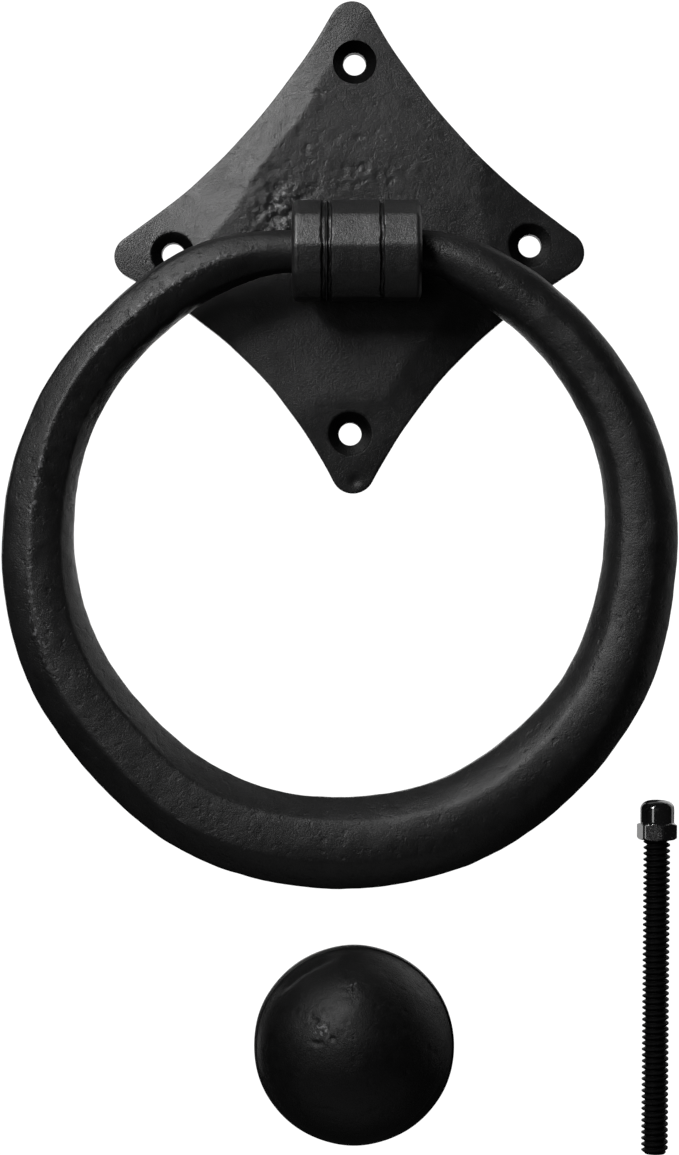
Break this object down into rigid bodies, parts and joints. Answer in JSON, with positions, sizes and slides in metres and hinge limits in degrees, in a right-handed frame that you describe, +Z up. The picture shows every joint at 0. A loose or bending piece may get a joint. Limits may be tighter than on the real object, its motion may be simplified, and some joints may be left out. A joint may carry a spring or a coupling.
{
  "type": "door knocker",
  "caption": "Ring door knocker: hollow-sided diamond back plate, grooved hinge barrel, swinging tapered ring, and a loose domed striker with its threaded rod and cap nut.",
  "frame": {"origin": "middle of the back plate's back face, on the door's face, on the flush end of the knuckle's riveted tenon", "axes": "+Z up the door, -Y out of the door towards whoever knocks, +X to the right of someone who faces the door"},
  "size_m": [0.1192, 0.0235, 0.2057],
  "materials": {
    "back_plate": "hammered black iron, satin, pitted in the middle",
    "knuckle": "filed black iron, satin",
    "pull_ring": "hammered black iron, satin, finely grained",
    "striker": "hammered black iron, satin, with a few pits",
    "threaded_rod": "black oxide on rolled thread, dull",
    "cap_nut": "gloss black over steel"
  },
  "bodies": {
    "back_plate": {"back_plate": "back_plate", "knuckle": "knuckle"},
    "pull_ring": {"pull_ring": "pull_ring"},
    "striker": {"striker": "striker"},
    "threaded_rod": {"threaded_rod": "threaded_rod"},
    "cap_nut": {"cap_nut": "cap_nut"}
  },
  "joints": [
    {"name": "ring_swing", "type": "hinge", "parent": "back_plate", "child": "pull_ring", "pos_m": [0.0012, -0.0145, -0.0021], "axis": [-1, 0, 0], "range_deg": [-3.5, 183.5]},
    {"name": "striker_lift_off", "type": "slide", "parent": "back_plate", "child": "striker", "axis": [0, -1, 0], "range_m": [0, 0.06]},
    {"name": "rod_lift_off", "type": "slide", "parent": "back_plate", "child": "threaded_rod", "axis": [0, -1, 0], "range_m": [0, 0.06]},
    {"name": "cap_nut_unscrew", "type": "hinge", "parent": "threaded_rod", "child": "cap_nut", "pos_m": [0.0544, -0.0038, -0.1616], "axis": [0.0079, 0, 1], "range_deg": [0, 1530]}
  ]
}
